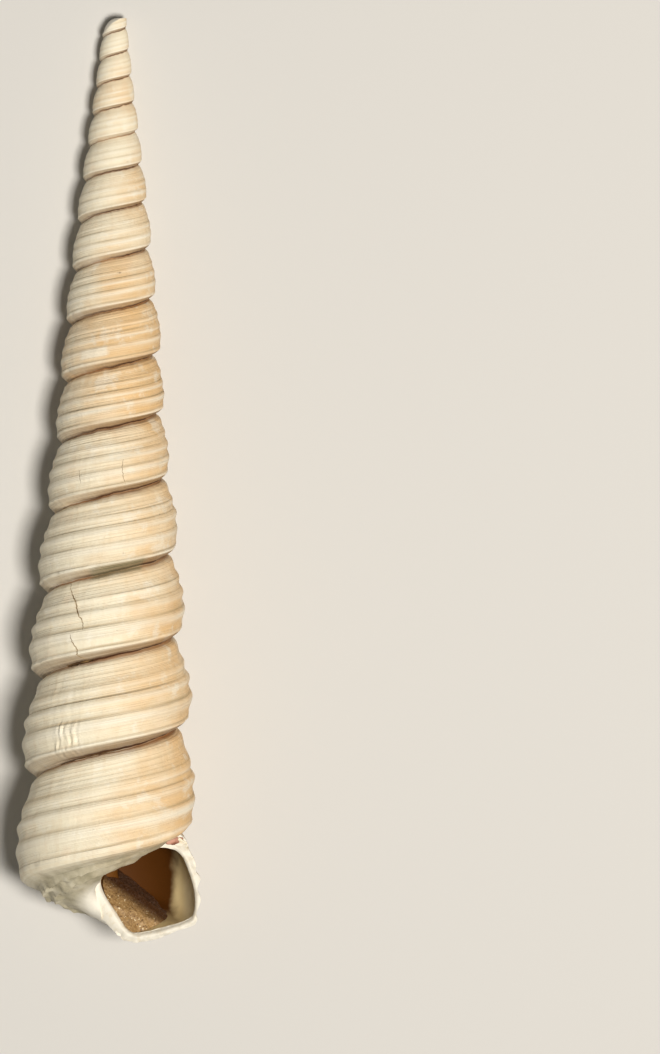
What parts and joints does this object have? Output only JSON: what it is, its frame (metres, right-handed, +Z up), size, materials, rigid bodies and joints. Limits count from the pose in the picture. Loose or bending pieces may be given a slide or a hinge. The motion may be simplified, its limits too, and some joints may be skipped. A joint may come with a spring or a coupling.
{
  "type": "turritella fossil",
  "caption": "Tall right-handed spire shell fossil lying on its back, with corded whorls, deep sutures, a broken tip and an open mouth part filled with sand.",
  "frame": {"origin": "on the surface it lies on, below the middle of the bounding box", "axes": "+Z up and out of the mouth, +Y toward the tip of the spire, +X toward the outer lip"},
  "size_m": [0.0194, 0.0956, 0.0191],
  "materials": {
    "shell": "matte",
    "sand": "matte"
  },
  "bodies": {
    "root": {"shell": "shell", "sand_fill": "sand"}
  },
  "joints": []
}
